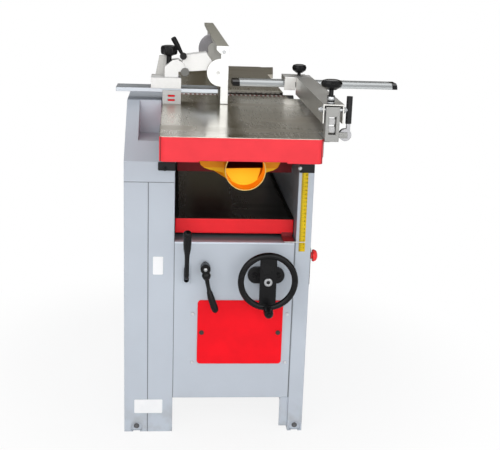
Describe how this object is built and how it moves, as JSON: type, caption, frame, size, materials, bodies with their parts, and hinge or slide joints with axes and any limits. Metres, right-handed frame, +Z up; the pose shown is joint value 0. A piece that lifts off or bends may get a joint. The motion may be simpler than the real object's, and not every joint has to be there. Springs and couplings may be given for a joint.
{
  "type": "combination planer thicknesser",
  "caption": "Floor-standing planer thicknesser: long cast tables with tilting fence and bridge guard over a cutterblock, and a lifting thicknesser table below.",
  "frame": {"origin": "floor level at the centre of the four anchor holes", "axes": "+X towards the operator side, +Y along the tables towards the planer infeed end, +Z up"},
  "size_m": [0.792, 1.6162, 1.022],
  "materials": {
    "cabinet_paint": "semi-gloss",
    "red_paint": "gloss",
    "red_cast_iron": "painted casting with a machined top",
    "bright_steel": "turned",
    "grey_iron": "cast",
    "black_iron": "painted black",
    "aluminium": "anodised",
    "black_rubber": "matt",
    "black_plastic": "moulded",
    "orange_plastic": "moulded",
    "red_plastic": "moulded",
    "green_plastic": "moulded",
    "yellow_scale": "printed"
  },
  "bodies": {
    "machine": {"drive_cabinet": "cabinet_paint", "drive_side_cover": "cabinet_paint", "operator_column": "cabinet_paint", "front_panel": "cabinet_paint", "rear_panel": "cabinet_paint", "access_plate": "red_paint", "panel_fasteners": "bright_steel", "levelling_bolts": "bright_steel", "base_shelf": "cabinet_paint", "head_castings": "red_paint", "table_supports": "black_iron", "pivot_pins": "bright_steel", "outfeed_table": "red_cast_iron", "outfeed_lip": "aluminium", "cutter_bearings": "grey_iron", "motor": "grey_iron", "motor_foot": "grey_iron", "drive_belt": "black_rubber", "feed_chain": "bright_steel", "feed_gearbox": "grey_iron", "dust_hood": "orange_plastic", "chip_chute": "red_paint", "column_guide": "grey_iron", "screw_bracket": "grey_iron", "flange_bearing": "black_iron", "switch_plate": "black_plastic", "thickness_scale": "yellow_scale", "rail_bracket": "aluminium", "guard_bracket": "aluminium"},
    "infeed_table": {"infeed_table": "red_cast_iron", "infeed_lip": "aluminium"},
    "cutter": {"cutterblock": "bright_steel", "knives": "bright_steel", "cutter_pulley": "grey_iron"},
    "motor_rotor": {"motor_pulley": "bright_steel"},
    "infeed_roller": {"thicknesser_infeed_roller": "bright_steel"},
    "outfeed_roller": {"thicknesser_outfeed_roller": "bright_steel"},
    "kickback": {"kickback_fingers": "bright_steel"},
    "thicknesser": {"thicknesser_table": "red_cast_iron", "edge_strips": "black_rubber", "table_column": "bright_steel", "thickness_pointer": "red_paint"},
    "screw": {"elevation_screw": "bright_steel"},
    "handwheel": {"handwheel": "black_plastic", "handwheel_shaft": "bright_steel"},
    "crank_grip": {"crank_grip": "black_plastic"},
    "lock_lever": {"lock_lever": "black_plastic"},
    "feed_lever": {"feed_lever": "black_plastic"},
    "stop_button": {"stop_button": "red_plastic"},
    "start_button": {"start_button": "green_plastic"},
    "fence_slide": {"fence_rail": "aluminium", "fence_carriage": "aluminium"},
    "fence": {"fence": "aluminium"},
    "fence_knob": {"fence_knob": "black_plastic"},
    "fence_clamp_lever": {"fence_clamp_lever": "black_plastic"},
    "guard_arm": {"guard_arm": "aluminium"},
    "guard_height_knob": {"guard_height_knob": "black_plastic"},
    "beam_knob": {"beam_knob": "black_plastic"},
    "guard_beam": {"guard_beam": "aluminium", "guard_end_caps": "black_plastic"},
    "cam_lever": {"cam_lever": "black_plastic"}
  },
  "joints": [
    {"name": "infeed_height", "type": "slide", "parent": "machine", "child": "infeed_table", "axis": [0, 0, 1], "range_m": [-0.003, 0.001]},
    {"name": "cutter_spin", "type": "hinge", "parent": "machine", "child": "cutter", "pos_m": [0, 0, 0.814], "axis": [1, 0, 0], "continuous": true},
    {"name": "motor_spin", "type": "hinge", "parent": "machine", "child": "motor_rotor", "pos_m": [0, 0.2, 0.26], "axis": [1, 0, 0], "continuous": true},
    {"name": "infeed_roller_spin", "type": "hinge", "parent": "machine", "child": "infeed_roller", "pos_m": [0, -0.075, 0.795], "axis": [1, 0, 0], "continuous": true},
    {"name": "outfeed_roller_spin", "type": "hinge", "parent": "machine", "child": "outfeed_roller", "pos_m": [0, 0.075, 0.795], "axis": [1, 0, 0], "continuous": true},
    {"name": "kickback_swing", "type": "hinge", "parent": "machine", "child": "kickback", "pos_m": [0, -0.112, 0.806], "axis": [1, 0, 0], "range_deg": [0, 30]},
    {"name": "handwheel_turn", "type": "hinge", "parent": "machine", "child": "handwheel", "pos_m": [0.118, -0.498, 0.442], "axis": [0, -1, 0], "range_deg": [0, 5400]},
    {"name": "thicknesser_lift", "type": "slide", "parent": "machine", "child": "thicknesser", "axis": [0, 0, 1], "range_m": [0, 0.06]},
    {"name": "screw_turn", "type": "hinge", "parent": "machine", "child": "screw", "pos_m": [0.118, -0.25, 0.442], "axis": [0, 0, 1], "range_deg": [0, 5400]},
    {"name": "crank_grip_spin", "type": "hinge", "parent": "handwheel", "child": "crank_grip", "pos_m": [0.118, -0.52, 0.374], "axis": [0, 1, 0], "continuous": true},
    {"name": "lock_lever_turn", "type": "hinge", "parent": "machine", "child": "lock_lever", "pos_m": [-0.038, 0, 0.466], "axis": [0, 1, 0], "range_deg": [-50, 35]},
    {"name": "feed_lever_swing", "type": "hinge", "parent": "machine", "child": "feed_lever", "pos_m": [-0.085, -0.4, 0.435], "axis": [1, 0, 0], "range_deg": [-10, 10]},
    {"name": "stop_press", "type": "slide", "parent": "machine", "child": "stop_button", "axis": [-1, 0, 0], "range_m": [0, 0.004], "stiffness_N_per_m": 600},
    {"name": "start_press", "type": "slide", "parent": "machine", "child": "start_button", "axis": [-1, 0, 0], "range_m": [0, 0.003], "stiffness_N_per_m": 600},
    {"name": "fence_slide", "type": "slide", "parent": "machine", "child": "fence_slide", "axis": [1, 0, 0], "range_m": [-0.09, 0]},
    {"name": "fence_tilt", "type": "hinge", "parent": "fence_slide", "child": "fence", "pos_m": [-0.0079, -0.221, 0.932], "axis": [0, -1, 0], "range_deg": [0, 15]},
    {"name": "fence_knob_turn", "type": "hinge", "parent": "fence_slide", "child": "fence_knob", "pos_m": [-0.136, -0.218, 0.97], "axis": [0, 0, 1], "continuous": true},
    {"name": "fence_clamp_turn", "type": "hinge", "parent": "fence_slide", "child": "fence_clamp_lever", "pos_m": [-0.099, -0.24, 0.972], "axis": [0, 1, 0], "range_deg": [0, 40]},
    {"name": "guard_arm_lift", "type": "hinge", "parent": "machine", "child": "guard_arm", "pos_m": [0.216, -0.745, 0.912], "axis": [0.999, -0.0436, 0], "range_deg": [0, 6]},
    {"name": "guard_height_turn", "type": "hinge", "parent": "guard_arm", "child": "guard_height_knob", "pos_m": [0.21001, -0.74474, 0.912], "axis": [0.0012, 0.0279, 0.9996], "range_deg": [0, 720]},
    {"name": "beam_knob_turn", "type": "hinge", "parent": "guard_arm", "child": "beam_knob", "pos_m": [0.238, 0, 0.905], "axis": [0, 0, 1], "continuous": true},
    {"name": "guard_beam_slide", "type": "slide", "parent": "guard_arm", "child": "guard_beam", "axis": [1, 0, 0], "range_m": [0, 0.12]},
    {"name": "cam_lever_turn", "type": "hinge", "parent": "machine", "child": "cam_lever", "pos_m": [0.244, -0.745, 0.859], "axis": [0, 1, 0], "range_deg": [0, 80]}
  ],
  "couplings": [
    {"joint": "motor_spin", "follows": "cutter_spin", "ratio": 0.66667},
    {"joint": "outfeed_roller_spin", "follows": "infeed_roller_spin", "ratio": 1},
    {"joint": "handwheel_turn", "follows": "thicknesser_lift", "rad_per_m": 1570.8},
    {"joint": "screw_turn", "follows": "thicknesser_lift", "rad_per_m": 1570.8},
    {"joint": "guard_height_turn", "follows": "guard_arm_lift", "ratio": 120}
  ]
}
